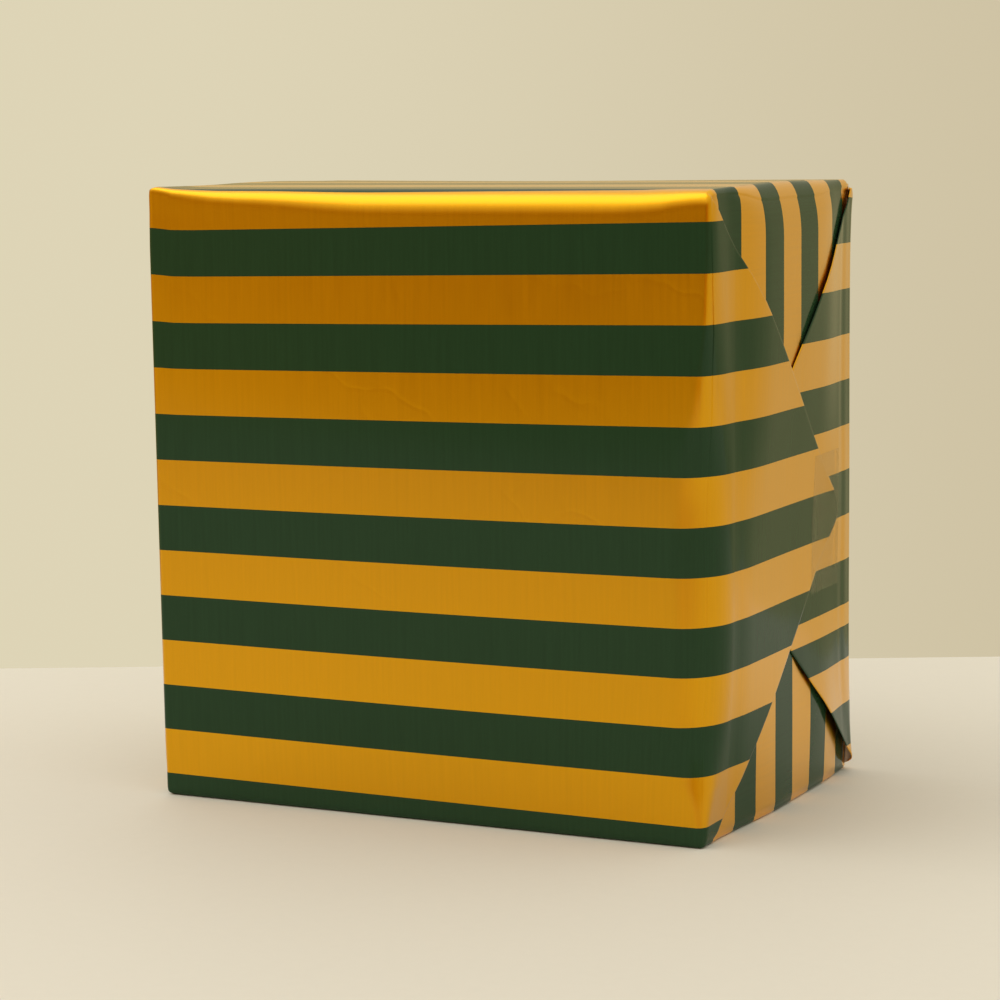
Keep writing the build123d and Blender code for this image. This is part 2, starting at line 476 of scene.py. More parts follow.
# How far the rear flap's two slanting edges stand off the tucks, by the depth
REAR_UPPER_SLACK = ((0, 0.0), (10, 0.8), (45, 0.9), (66, 0.3))
REAR_LOWER_SLACK = ((0, 0.0), (6, 2.2), (20, 2.2), (45, 1.1), (62, 0.3))
SLACK_FADE = 14
RIPPLE, RIPPLE_RATE = 0.07, 0.85
FLAP_OVER_FLAP, TIP_CURL = 0.45, 0.5
TUCK_DROP, TUCK_NARROWER, TUCK_START = 0.3, 1.4, 3


def even_lift(z, length):
    """An end's lift along an upright edge, easing to nothing at the parcel's top and base."""
    return EDGE_LIFT * rise(min(z, HEIGHT - z), 0, length)


def loosened(distance, start, length):
    """Grows to 1 over a short start from a corner, then dies away."""
    return rise(distance, 0, start) * fade(distance - start, length)


def rear_edge_lift(z):
    """How far the parcel's rear upright edges stand out: most at the loose corners, top and base."""
    ear = REAR_EAR * loosened(HEIGHT - z, 2, 9)
    foot = REAR_FOOT * loosened(z, 4, 12)
    return even_lift(z, REAR_EDGE_EASE) + ear + foot


def rear_lift(y, z):
    """How far the rear flap stands off the tucks."""
    d = DEPTH - y
    upper = between(REAR_UPPER_SLACK, d) * fade(-REAR_UPPER.past(d, z), SLACK_FADE)
    lower = between(REAR_LOWER_SLACK, d) * fade(-REAR_LOWER.past(d, z), SLACK_FADE)
    even = even_lift(z, REAR_EDGE_EASE)
    ripple = RIPPLE * math.sin(RIPPLE_RATE * d) * rise(d, 0, 4) * fall(d, 12, 28) * rise(z, 0, 40)
    return even + upper + lower + ripple + (rear_edge_lift(z) - even) * fall(d, 0, FLAP_BLEND)


def front_lift(y, z):
    """How far the front flap stands off the tucks. Its tip lies over the rear flap."""
    over = (rear_lift(y, z) + FLAP_OVER_FLAP) * rise(y, 14, 28)
    return max(even_lift(z, FRONT_EDGE_EASE), over) + TIP_CURL * rise(y, 92, 106)


def front_edge_out(z):
    """How far the front's upright edges stand forward, so that the panel turns the edge evenly."""
    return max(even_lift(z, FRONT_EDGE_EASE) - END_SINK, 0)


def rear_edge_out(z):
    """How far the back's upright edges stand backward, for the same reason."""
    return max(even_lift(z, REAR_EDGE_EASE) - END_SINK, 0)


def end_place(side, y, z, lift):
    x = WIDTH - END_SINK + lift if side == RIGHT else END_SINK - lift
    return x, y, z


def end_spread(s):
    """Grows from 0 to 1 along the sheet towards each end of the parcel."""
    return rise(abs(s - WIDTH / 2), WIDTH / 2 - PANEL_BLEND, WIDTH / 2)


def panel_x(s, edge_lift):
    """Along the parcel, the sheet spreads at its ends by what the flaps are lifted there."""
    inner = END_SINK + (WIDTH - 2 * END_SINK) * s / WIDTH
    return inner + math.copysign(edge_lift * end_spread(s), s - WIDTH / 2)


def base_y(t):
    """The underside runs from the front to the lower back, which lies a little inside."""
    return (t - T_BASE) * (DEPTH - LOWER_LEVEL) / DEPTH


def front_panel(s, t):
    z = HEIGHT - t
    return panel_x(s, even_lift(z, FRONT_EDGE_EASE)), -front_edge_out(z) * end_spread(s), z


def top_panel(s, t):
    return panel_x(s, 0), -t, HEIGHT


def base_panel(s, t):
    return panel_x(s, 0), base_y(t), 0.0


def upper_back(s, t):
    z = HEIGHT + DEPTH + t
    return panel_x(s, rear_edge_lift(z)), DEPTH + rear_edge_out(z) * end_spread(s), z


def lower_back(s, t):
    z = t - T_BACK_BASE
    y = DEPTH - LOWER_LEVEL + rear_edge_out(z) * end_spread(s)
    return panel_x(s, rear_edge_lift(z)), y, z


def flap_depth(s):
    """How far past the parcel's end a place on the sheet lies, and past which end."""
    return (s - WIDTH, RIGHT) if s > WIDTH / 2 else (-s, LEFT)


def fold_flap(d, h, folds, place):
    """Lays a flap's point on the end, turning what lies past a fold under the flap."""
    for fold in folds:
        past = fold.past(d, h)
        if past > 0:
            d, h = fold.mirrored(d, h)
            under = GUSSET_BASE * rise(d, 0, FLAP_START) + between(GUSSET_UNDER, past)
            return place(d, h, under)
    past = max(fold.past(d, h) for fold in folds)
    return place(d, h, between(ROUND_AT_FOLD, past) * rise(d, 0, FLAP_START))


def gusset_tuck_in(d, under):
    """A rear gusset's edge lies this far inside the parcel's rear upright edge."""
    return min(under, GUSSET_TUCK_IN) * fall(d, 0, 8)


def front_flap(s, t):
    d, side = flap_depth(s)

    def place(d, h, under):
        y = d - front_edge_out(h) * fall(d, 0, FLAP_BLEND)
        return end_place(side, y, h, front_lift(d, h) - under)

    return fold_flap(d, HEIGHT - t, (FRONT_UPPER, FRONT_LOWER), place)


def upper_rear_flap(s, t):
    d, side = flap_depth(s)

    def place(d, h, under):
        y = DEPTH - d + rear_edge_out(h) * fall(d, 0, FLAP_BLEND) - gusset_tuck_in(d, under)
        return end_place(side, y, h, rear_lift(DEPTH - d, h) - under)

    return fold_flap(d, HEIGHT + DEPTH + t, (REAR_UPPER, REAR_LOWER), place)


def lower_rear_flap(s, t):
    d, side = flap_depth(s)

    def place(d, h, under):
        y = DEPTH - d + rear_edge_out(h) * fall(d, 0, FLAP_BLEND) - gusset_tuck_in(d, under)
        y -= LOWER_LEVEL * fall(d, 0, FLAP_START)
        lift = rear_lift(DEPTH - d, h) - LOWER_LEVEL * rise(d, 0, FLAP_START)
        return end_place(side, y, h, lift - under)

    return fold_flap(d, t - T_BACK_BASE, (REAR_LOWER,), place)


def tuck_place(side, y, z, d):
    """Past its crease, a tuck is a little narrower than the parcel, and its side edges lie deeper."""
    start = rise(d, 0, TUCK_START)
    drop = TUCK_DROP * start * fall(min(y, DEPTH - y), 6, 20)
    inset = DEPTH / 2 + (y - DEPTH / 2) * (1 - TUCK_NARROWER / DEPTH * start)
    return end_place(side, inset, z, -drop)


def top_tuck(s, t):
    d, side = flap_depth(s)
    return tuck_place(side, -t, HEIGHT - d, d)


def bottom_tuck(s, t):
    d, side = flap_depth(s)
    return tuck_place(side, base_y(t), d, d)


def reverse_faces(obj, wrong=lambda face: True):
    """Turns faces round: all of them, or those that the test picks."""
    bm = bmesh.new()
    bm.from_mesh(obj.data)
    bmesh.ops.reverse_faces(bm, faces=[face for face in bm.faces if wrong(face)])
    bm.to_mesh(obj.data)
    bm.free()


def finish_piece(sheet, fold):
    """Writes the print's coordinates to the flat sheet, then folds it."""
    mesh = sheet.data
    layer = mesh.uv_layers.new(name="print")
    layer.active = True
    flat = [(v.co.x, v.co.y) for v in mesh.vertices]
    for loop in mesh.loops:
        s, t = flat[loop.vertex_index]
        layer.data[loop.index].uv = (s / STRIPE, stripe_count(s, t))
    for v, (s, t) in zip(mesh.vertices, flat):
        v.co = in_frame(settle(fold(s, t)))
    # The sheet is laid out as seen from its unprinted side
    reverse_faces(sheet)
    return sheet


def trimmed_flap(name, side, t_cuts, heights, folds, tip, gusset_stop):
    """A flap of the flat sheet past one end, with its fold lines scored and its spare trimmed off."""
    sheet = flat_sheet(name, end_cuts(side), t_cuts)

    def flat_point(d, h):
        return (WIDTH + d if side == RIGHT else -d, heights(h))

    for fold in folds:
        (d, h), (out_d, out_h) = fold.point, fold.out
        origin = Vector(flat_point(d, h))
        out = Vector(flat_point(d + out_d, h + out_h)) - origin
        for offset in FOLD_SCORES:
            cut(sheet, origin + out * offset, out)
    cut(sheet, flat_point(tip, 0), (side, 0), clear=True)
    trim_gusset_corners(sheet, heights, folds, gusset_stop)
    return sheet


def trim_gusset_corners(sheet, heights, folds, gusset_stop):
    """Takes off the part of each turned-under gusset that comes too near the upright edge."""
    zero, one = heights(0.0), heights(1.0)
    with editing(sheet):
        bpy.ops.mesh.select_all(action="DESELECT")
        bpy.ops.mesh.select_mode(type="FACE")
    for face in sheet.data.polygons:
        d, _ = flap_depth(face.center.x)
        h = (face.center.y - zero) / (one - zero)
        face.select = any(
            fold.past(d, h) > 0 and fold.mirrored(d, h)[0] < gusset_stop for fold in folds
        )
    with editing(sheet):
        bpy.ops.mesh.delete(type="FACE")


def join(pieces, name):
    select_only(pieces[0])
    for piece in pieces:
        piece.select_set(True)
    bpy.ops.object.join()
    whole = bpy.context.object
    whole.name = whole.data.name = name
    return whole


def merge_doubles(obj, distance):
    with editing(obj):
        bpy.ops.mesh.select_all(action="SELECT")
        bpy.ops.mesh.remove_doubles(threshold=distance)


def thicken(obj, thickness, **settings):
    """Gives a sheet its thickness, inwards from its outer side."""
    wall = obj.modifiers.new("thickness", "SOLIDIFY")
    wall.thickness = thickness
    wall.offset = -1
    for key, value in settings.items():
        setattr(wall, key, value)
    select_only(obj)
    bpy.ops.object.modifier_apply(modifier=wall.name)


def smooth(obj, angle):
    """Shades smoothly across every edge that turns by less than the angle in degrees."""
    select_only(obj)
    bpy.ops.object.shade_smooth_by_angle(angle=math.radians(angle))


def front_height(h):
    return HEIGHT - h


def upper_back_height(h):
    return h - HEIGHT - DEPTH


def lower_back_height(h):
    return T_BACK_BASE + h


PANELS = (
    ("front", FRONT_CUTS, front_panel),
    ("top", TOP_CUTS, top_panel),
    ("base", BASE_CUTS, base_panel),
    ("upper back", UPPER_BACK_CUTS, upper_back),
    ("lower back", LOWER_BACK_CUTS, lower_back),
)
# Each flap's name and fold, then its cuts, heights, fold lines, tip and gusset stop
FLAPS = (
    (
        "front flap", front_flap,
        (FRONT_CUTS, front_height, (FRONT_UPPER, FRONT_LOWER), FRONT_TIP, FRONT_GUSSET_STOP),
    ),
    (
        "upper rear flap", upper_rear_flap,
        (UPPER_BACK_CUTS, upper_back_height, (REAR_UPPER, REAR_LOWER), REAR_TIP, REAR_GUSSET_STOP),
    ),
    (
        "lower rear flap", lower_rear_flap,
        (LOWER_BACK_CUTS, lower_back_height, (REAR_LOWER,), REAR_TIP, REAR_GUSSET_STOP),
    ),
)


def paper_pieces():
    """Every panel and flap of the sheet, folded but not yet joined."""
    made = [finish_piece(flat_sheet(name, S_CUTS, t_cuts), fold) for name, t_cuts, fold in PANELS]
    for side in (RIGHT, LEFT):
        tuck = flat_sheet("top tuck", end_cuts(side), TOP_CUTS)
        made.append(finish_piece(tuck, top_tuck))
        tuck = flat_sheet("bottom tuck", end_cuts(side), BASE_CUTS)
        tip = WIDTH + BOTTOM_TUCK_TIP if side == RIGHT else -BOTTOM_TUCK_TIP
        cut(tuck, (tip, 0), (side, 0), clear=True)
        made.append(finish_piece(tuck, bottom_tuck))
        for name, fold, pattern in FLAPS:
            made.append(finish_piece(trimmed_flap(name, side, *pattern), fold))
    return made


# ---------------------------------------------------------------- materials


def feed(tree, socket, value):
    """Links a socket to another node's output, or sets its value. A colour comes as three numbers."""
    if hasattr(value, "links"):
        tree.links.new(value, socket)
    elif socket.type == "RGBA":
        socket.default_value = (*value, 1)
    else:
        socket.default_value = value


def fill(tree, made, values):
    """Sets a node's inputs, or else its own settings, by name."""
    for key, value in values.items():
        if key in made.inputs:
            feed(tree, made.inputs[key], value)
        else:
            setattr(made, key, value)


def node(tree, kind, place, **values):
    made = tree.nodes.new(kind)
    made.location = place
    fill(tree, made, values)
    return made


def group_node(tree, name, place, **values):
    group = bpy.data.node_groups[name]
    return node(tree, "ShaderNodeGroup", place, node_tree=group, **values)


def maths(tree, place, operation, *values):
    made = node(tree, "ShaderNodeMath", place, operation=operation)
    for socket, value in zip(made.inputs, values):
        feed(tree, socket, value)
    return made.outputs[0]


def mixed(tree, place, factor, a, b, kind="RGBA"):
    """Runs from A to B, which are colours, or numbers where the kind is FLOAT."""
    made = node(tree, "ShaderNodeMix", place, data_type=kind)
    first, out = (6, 2) if kind == "RGBA" else (2, 0)
    sockets = made.inputs["Factor"], made.inputs[first], made.inputs[first + 1]
    for socket, value in zip(sockets, (factor, a, b)):
        feed(tree, socket, value)
    return made.outputs[out]


def mottled(tree, place, factor, colour, darkest, lightest):
    """A colour that runs between two shares of itself."""
    shades = ([c * share for c in colour] for share in (darkest, lightest))
    return mixed(tree, place, factor, *shades)


def ramp(tree, place, value, low, high, **values):
    """Maps a value from low..high to 0..1, or to To Min..To Max where these are given."""
    made = node(tree, "ShaderNodeMapRange", place, Value=value)
    fill(tree, made, {"From Min": low, "From Max": high, **values})
    return made.outputs[0]


def noise(tree, place, vector, scale, detail, roughness=0.5):
    values = {"Vector": vector, "Scale": scale, "Detail": detail, "Roughness": roughness}
    return node(tree, "ShaderNodeTexNoise", place, **values)


def bump(tree, place, height, strength, distance):
    values = {"Height": height, "Strength": strength, "Distance": distance}
    return node(tree, "ShaderNodeBump", place, **values).outputs[0]


def new_group(name, vector, outputs, **numbers):
    """A node group that takes one vector and some numbers, and gives numbers."""
    tree = bpy.data.node_groups.new(name, "ShaderNodeTree")
    add = tree.interface.new_socket
    add(vector, in_out="INPUT", socket_type="NodeSocketVector")
    for label, default in numbers.items():
        add(label, in_out="INPUT", socket_type="NodeSocketFloat").default_value = default
    for label in outputs:
        add(label, in_out="OUTPUT", socket_type="NodeSocketFloat")
    given, made = tree.nodes.new("NodeGroupInput"), tree.nodes.new("NodeGroupOutput")
    return tree, given.outputs, made.inputs


def new_material(name):
    material = bpy.data.materials.new(name)
    material.use_nodes = True
    tree = material.node_tree
    return tree, tree.nodes["Principled BSDF"]


def printed_stripes():
    """Where the gold runs: 1 on gold and 0 on green, from the stripe count along V."""
    tree, given, made = new_group("printed_stripes", "Print", ("Gold",), Wobble=0.004)
    rough = noise(tree, (-600, -200), given["Print"], scale=9.0, detail=2.0).outputs[0]
    about_zero = maths(tree, (-500, -200), "SUBTRACT", rough, 0.5)
    shift = maths(tree, (-400, -200), "MULTIPLY", about_zero, given["Wobble"])
    parts = node(tree, "ShaderNodeSeparateXYZ", (-600, 0), Vector=given["Print"])
    count = maths(tree, (-300, 0), "ADD", parts.outputs["Y"], shift)
    half = maths(tree, (-200, 0), "MULTIPLY", count, 0.5)
    share = maths(tree, (-100, 0), "FRACT", half)
    feed(tree, made["Gold"], maths(tree, (0, 0), "GREATER_THAN", share, 0.5))


def fine_fibres():
    """Long fine fibres across the stripes, as a value about 0.5, and scattered specks."""
    outputs = ("Fibre", "Speck")
    tree, given, made = new_group("fine_fibres", "Print", outputs, Across=14.0, Along=0.5)
    parts = node(tree, "ShaderNodeSeparateXYZ", (-800, 0), Vector=given["Print"])
    x = maths(tree, (-600, 100), "MULTIPLY", parts.outputs["X"], given["Across"])
    y = maths(tree, (-600, -100), "MULTIPLY", parts.outputs["Y"], given["Along"])
    long_way = node(tree, "ShaderNodeCombineXYZ", (-400, 0), X=x, Y=y).outputs[0]
    fibre = noise(tree, (-200, 0), long_way, scale=1.0, detail=4.0, roughness=0.6).outputs[0]
    feed(tree, made["Fibre"], fibre)
    speck = noise(tree, (-200, -300), given["Print"], scale=42.0, detail=2.0).outputs[0]
    feed(tree, made["Speck"], ramp(tree, (0, -300), speck, 0.66, 0.74))


def soft_creases():
    """Slow waves and faint handling creases of a taut sheet, as a height."""
    outputs = ("Height",)
    tree, given, made = new_group("soft_creases", "Place", outputs, Wave=1.0, Crease=0.3)
    wave = noise(tree, (-600, 100), given["Place"], scale=26.0, detail=1.5, roughness=0.45).outputs[0]
    bend = noise(tree, (-900, -300), given["Place"], scale=30.0, detail=2.0).outputs["Color"]
    crease = node(
        tree, "ShaderNodeTexVoronoi", (-600, -200),
        feature="DISTANCE_TO_EDGE", Scale=19.0,
        Vector=mixed(tree, (-750, -250), 0.05, given["Place"], bend),
    )
    line = ramp(tree, (-400, -200), crease.outputs["Distance"], 0, 0.03)
    waves = maths(tree, (-200, 100), "MULTIPLY", wave, given["Wave"])
    creases = maths(tree, (-200, -100), "MULTIPLY", line, given["Crease"])
    feed(tree, made["Height"], maths(tree, (0, 0), "ADD", waves, creases))


SPECK_COLOUR, SPECK_SHARE = (0.09, 0.11, 0.06), 0.25
FOIL_ROUGH, INK_ROUGH, STREAK_ROUGH = 0.3, 0.42, 0.05
FIBRE_HEIGHT, CREASE_HEIGHT, RELIEF = 0.012, 0.22, 0.4


def striped_foil_paper(settings):
    """Gold foil and green ink under one clear coat."""
    tree, surface = new_material("striped_foil_paper")
    print_map = node(tree, "ShaderNodeUVMap", (-1400, 0), uv_map="print").outputs[0]
    place = node(tree, "ShaderNodeTexCoord", (-1400, -500)).outputs["Object"]
    gold = group_node(tree, "printed_stripes", (-1100, 100), Print=print_map).outputs["Gold"]
    fibres = group_node(tree, "fine_fibres", (-1100, -100), Print=print_map).outputs
    creases = group_node(tree, "soft_creases", (-1100, -500), Place=place).outputs["Height"]
    streak = ramp(tree, (-800, -50), fibres["Fibre"], 0.3, 0.7)
    foil = mottled(tree, (-600, 100), streak, settings.gold, 0.965, 1.02)
    ink = mottled(tree, (-600, -50), streak, settings.green, 0.93, 1.07)
    speck = maths(tree, (-600, -150), "MULTIPLY", fibres["Speck"], SPECK_SHARE)
    ink = mixed(tree, (-400, -50), speck, ink, SPECK_COLOUR)
    worn = maths(tree, (-400, -200), "MULTIPLY", streak, STREAK_ROUGH)
    foil_rough = maths(tree, (-300, -200), "ADD", worn, FOIL_ROUGH)
    ink_rough = maths(tree, (-300, -300), "ADD", worn, INK_ROUGH)
    fibre = maths(tree, (-400, -450), "MULTIPLY", fibres["Fibre"], FIBRE_HEIGHT)
    crease = maths(tree, (-400, -550), "MULTIPLY", creases, CREASE_HEIGHT)
    height = maths(tree, (-300, -450), "ADD", fibre, crease)
    fill(tree, surface, {
        "Base Color": mixed(tree, (-200, 100), gold, ink, foil),
        "Metallic": gold,
        "Roughness": mixed(tree, (-200, -250), gold, ink_rough, foil_rough, kind="FLOAT"),
        "Specular IOR Level": 0.0,
        "Coat Weight": 1.0,
        "Coat IOR": 1.22,
        "Coat Roughness": 0.12,
        "Normal": bump(tree, (-200, -450), height, 0.5, RELIEF * MM),
    })


def grained_material(name, colour, darkest, grain_scale, rough, depth):
    """A plain colour with a fine grain that both darkens it and raises it."""
    tree, surface = new_material(name)
    place = node(tree, "ShaderNodeTexCoord", (-900, 0)).outputs["Object"]
    grain = noise(tree, (-700, 0), place, scale=grain_scale, detail=3.0).outputs[0]
    fill(tree, surface, {
        "Base Color": mottled(tree, (-400, 0), grain, colour, darkest, 1),
        "Roughness": rough,
        "Normal": bump(tree, (-300, -200), grain, 0.3, depth * MM),
    })


TAPE_ALPHA = {"To Min": 0.07, "To Max": 0.1}
TAPE_ROUGH, TAPE_HAZE_ROUGH = 0.14, 0.1


def clear_tape(settings):
    """Thin clear tape with a slight haze."""
    tree, surface = new_material("hazy_clear_tape")
    place = node(tree, "ShaderNodeTexCoord", (-900, 0)).outputs["Object"]
    haze = noise(tree, (-700, 0), place, scale=70.0, detail=3.0).outputs[0]
    uneven = maths(tree, (-500, -200), "MULTIPLY", haze, TAPE_HAZE_ROUGH)
    fill(tree, surface, {
        "Base Color": settings.clear,
        "IOR": 1.5,
        "Alpha": ramp(tree, (-500, 0), haze, 0, 1, **TAPE_ALPHA),
        "Roughness": maths(tree, (-400, -200), "ADD", uneven, TAPE_ROUGH),
        "Normal": bump(tree, (-300, -300), haze, 0.25, 0.1 * MM),
    })


FLUTE_PITCH = 3.2


def corrugated_board(settings):
    """Rough brown board whose flutes show through."""
    tree, surface = new_material("corrugated_board")
    place = node(tree, "ShaderNodeTexCoord", (-1100, 0)).outputs["Object"]
    grain = noise(tree, (-900, 0), place, scale=260.0, detail=5.0, roughness=0.7).outputs[0]
    parts = node(tree, "ShaderNodeSeparateXYZ", (-900, -300), Vector=place)
    across = maths(tree, (-700, -300), "ADD", parts.outputs["X"], parts.outputs["Y"])
    turns = maths(tree, (-600, -300), "MULTIPLY", across, 2 * math.pi / (FLUTE_PITCH * MM))
    flutes = maths(tree, (-500, -300), "SINE", turns)
    flute_height = maths(tree, (-450, -300), "MULTIPLY", flutes, 0.3)
    height = maths(tree, (-400, -200), "ADD", grain, flute_height)
    fill(tree, surface, {
        "Base Color": mottled(tree, (-400, 0), grain, settings.board, 0.75, 1.15),
        "Roughness": 0.85,
        "Normal": bump(tree, (-200, -200), height, 0.4, 0.08 * MM),
    })


def make_materials():
    scene = bpy.context.scene
    for make_group in (printed_stripes, fine_fibres, soft_creases):
        make_group()
    striped_foil_paper(scene.gift_paper)
    grained_material(
        "paper_back", scene.gift_paper.back,
        darkest=0.92, grain_scale=900.0, rough=0.8, depth=0.05,
    )
    clear_tape(scene.gift_tape)
    grained_material(
        "brown_packing_tape", scene.gift_tape.packing,
        darkest=0.85, grain_scale=120.0, rough=0.22, depth=0.1,
    )
    corrugated_board(scene.gift_carton)


def give(obj, *names):
    obj.data.materials.clear()
    for name in names:
        obj.data.materials.append(bpy.data.materials[name])


# ---------------------------------------------------------------- operators


SHEET_WELD = 0.004
SHEET_SMOOTH_ANGLE, BOARD_SMOOTH_ANGLE = 50, 30


class GIFTBOX_OT_wrapping_paper(bpy.types.Operator):
    """Cut, print and fold the one sheet of wrapping paper"""

    bl_idname = "giftbox.wrapping_paper"
    bl_label = "Wrapping paper"

    def execute(self, context):
        sheet = join(paper_pieces(), "wrapping_paper")
        merge_doubles(sheet, SHEET_WELD * MM)
        give(sheet, "striped_foil_paper", "paper_back")
        thickness = context.scene.gift_paper.thickness
        thicken(sheet, thickness, material_offset=1, material_offset_rim=1)
        smooth(sheet, SHEET_SMOOTH_ANGLE)
        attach(sheet, "root")
        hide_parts(*(n for n in frame["nodes"] if n.startswith("wrap_") or n.endswith("_tuck")))
        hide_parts(*(n for n in frame["nodes"] if "_rear_flap_" in n or n.endswith("_front_flap")))
        return {"FINISHED"}


TAPE_THICKNESS, TAPE_STAND = 0.05, 0.08
TIP_TAPE_Y, TIP_TAPE_LOW, TIP_TAPE_HIGH = 83.5, 65.5, 110.5
TIP_TAPE_CUTS = steps((TIP_TAPE_LOW, TIP_TAPE_HIGH, 45))
TIP_TAPE_PIECES, LAP_TAPE_PIECES = 25, 10
LAP_TAPE_MIDDLES = (-62, 0, 62)
LAP_TAPE_CUTS = steps((20, 47, 8), (47, 51, 8), (51, 80, 8))
# The tape comes down over an edge of the paper within these lengths
FLAP_STEP, LAP_STEP = 1.6, 1.2


def tape_strip(name, u_cuts, v_cuts, place):
    """A strip of tape laid on the parcel, given where each of its points comes to."""
    strip = flat_sheet(name, u_cuts, v_cuts)
    for v in strip.data.vertices:
        v.co = in_frame(settle(place(v.co.x, v.co.y)))
    return strip


def finish_tape(tape):
    give(tape, "hazy_clear_tape")
    thicken(tape, TAPE_THICKNESS * MM)
    smooth(tape, SHEET_SMOOTH_ANGLE)
    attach(tape, "root")


class GIFTBOX_OT_flap_tapes(bpy.types.Operator):
    """Stick down the tip of the front flap at each end"""

    bl_idname = "giftbox.flap_tapes"
    bl_label = "Flap tapes"

    def execute(self, context):
        width = context.scene.gift_tape.width / MM
        y_cuts = steps((TIP_TAPE_Y, TIP_TAPE_Y + width, TIP_TAPE_PIECES))
        for side, label in ((RIGHT, "right"), (LEFT, "left")):

            def place(y, z, side=side):
                inside = -max(FRONT_UPPER.past(y, z), FRONT_LOWER.past(y, z), y - FRONT_TIP)
                low, high = rear_lift(y, z), front_lift(y, z)
                lift = low + (high - low) * rise(inside, -FLAP_STEP, 0)
                return end_place(side, y, z, lift + TAPE_STAND)

            tape = tape_strip(label + "_tip_tape", y_cuts, TIP_TAPE_CUTS, place)
            tape.data.name = tape.name
            reverse_faces(tape, lambda face, side=side: face.normal.x * side < 0)
            finish_tape(tape)
            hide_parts(label + "_flap_tape")
        return {"FINISHED"}


class GIFTBOX_OT_seam_tapes(bpy.types.Operator):
    """Stick down the lap of the sheet on the back with three strips"""

    bl_idname = "giftbox.seam_tapes"
    bl_label = "Seam tapes"

    def execute(self, context):
        width = context.scene.gift_tape.width / MM

        def place(x, z):
            step = LOWER_LEVEL * fall(z, SEAM_Z - LAP_STEP, SEAM_Z)
            return x, DEPTH + TAPE_STAND - step, z

        strips = []
        for middle in LAP_TAPE_MIDDLES:
            start = WIDTH / 2 + middle - width / 2
            x_cuts = steps((start, start + width, LAP_TAPE_PIECES))
            strips.append(tape_strip("lap_tape", x_cuts, LAP_TAPE_CUTS, place))
        tape = join(strips, "lap_tapes")
        reverse_faces(tape, lambda face: face.normal.y < 0)
        finish_tape(tape)
        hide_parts("seam_tapes")
        return {"FINISHED"}


CARTON_SLACK = 0.45
CARTON_WELD = 0.001
CORNER_CUTS = (1.5, 3, 5, 7, 9, 12, 15)
EVEN_CUTS = 20


def slackened(c, size):
    """Draws a place on the carton in a little from the paper round it."""
    return size / 2 + (c - size / 2) * (1 - 2 * CARTON_SLACK / size)


def carton_cuts():
    """(axis, position) of every cut that lets the carton's flat boards bend."""
    cuts = []
    for axis, size in enumerate(SIDES):
        places = [*CORNER_CUTS, *(size - d for d in CORNER_CUTS)]
        places += [size * i / EVEN_CUTS for i in range(1, EVEN_CUTS)]
        cuts += [(axis, c) for c in places]
    return cuts


def cut_across(board, low, high):
    """Makes the cuts that fall between the board's two corners."""
    with editing(board):
        for axis, c in carton_cuts():
            point, normal = Vector((0, 0, 0)), Vector((0, 0, 0))
            point[axis], normal[axis] = c, 1
            point = in_frame(point)
            if low[axis] < point[axis] < high[axis]:
                bpy.ops.mesh.select_all(action="SELECT")
                bpy.ops.mesh.bisect(plane_co=point, plane_no=normal, threshold=1e-7)


class GIFTBOX_OT_carton(bpy.types.Operator):
    """Soften the carton to the wrapped form and give it its board and tape"""

    bl_idname = "giftbox.carton"
    bl_label = "Carton"

    def execute(self, context):
        for name, solid in frame["nodes"].items():
            if not name.startswith("carton_"):
                continue
            select_only(solid)
            bpy.ops.object.duplicate()
            board = context.object
            board.parent = None
            board.name = board.data.name = "soft_" + name
            # The copy is a piece of the scene, and not the CAD's node
            del board["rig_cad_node"]
            merge_doubles(board, CARTON_WELD * MM)
            cut_across(board, *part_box(name))
            for v in board.data.vertices:
                p = v.co / MM + MIDDLE
                v.co = in_frame(settle([slackened(c, size) for c, size in zip(p, SIDES)]))
            give(board, "brown_packing_tape" if name.endswith("_tape") else "corrugated_board")
            smooth(board, BOARD_SMOOTH_ANGLE)
            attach(board, "root")
            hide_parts(name)
        return {"FINISHED"}


# The stage's lengths are in metres
SOFTBOX_PLACE, SOFTBOX_TARGET = Vector((-0.66, -0.34, 1.42)), Vector((0, 0, 0.15))
SOFTBOX_SIDE = 1.05
SOFTBOX_COLOUR = (1.0, 0.95, 0.86)
CAMERA_PLACE = (0.4193, -0.8713, 0.2202)
CAMERA_SENSOR = 36
CAMERA_NEAR, CAMERA_FAR = 0.01, 50
VIEW_YAW, VIEW_PITCH, VIEW_ROLL = (math.radians(a) for a in (-25.899, -7.409, -0.683))
AHEAD = Vector((math.sin(VIEW_YAW), math.cos(VIEW_YAW), 0))
ASIDE = Vector((math.cos(VIEW_YAW), -math.sin(VIEW_YAW), 0))
TABLE_BEHIND, TABLE_BEFORE, TABLE_ASIDE, TABLE_THICKNESS = 0.215, 0.85, 1.3, 0.03
# Directions of the room's lights, and between which cosines each one grows
WALLS, WALLS_RAMP = (0.55, 0.83, 0), (-0.45, 1.05)
ABOVE, ABOVE_RAMP = (0, 0, 1), (0.05, 0.8)
ONLOOKER, ONLOOKER_RAMP = (-0.23, -0.973, 0.03), (0.94, 0.985)
LEFTWARDS, LEFTWARDS_RAMP = (-1, 0, 0), (0.3, 0.65)
WALL_SHADE_RAMP = (-0.14, 0.26)
ONLOOKER_SHADE = 0.5


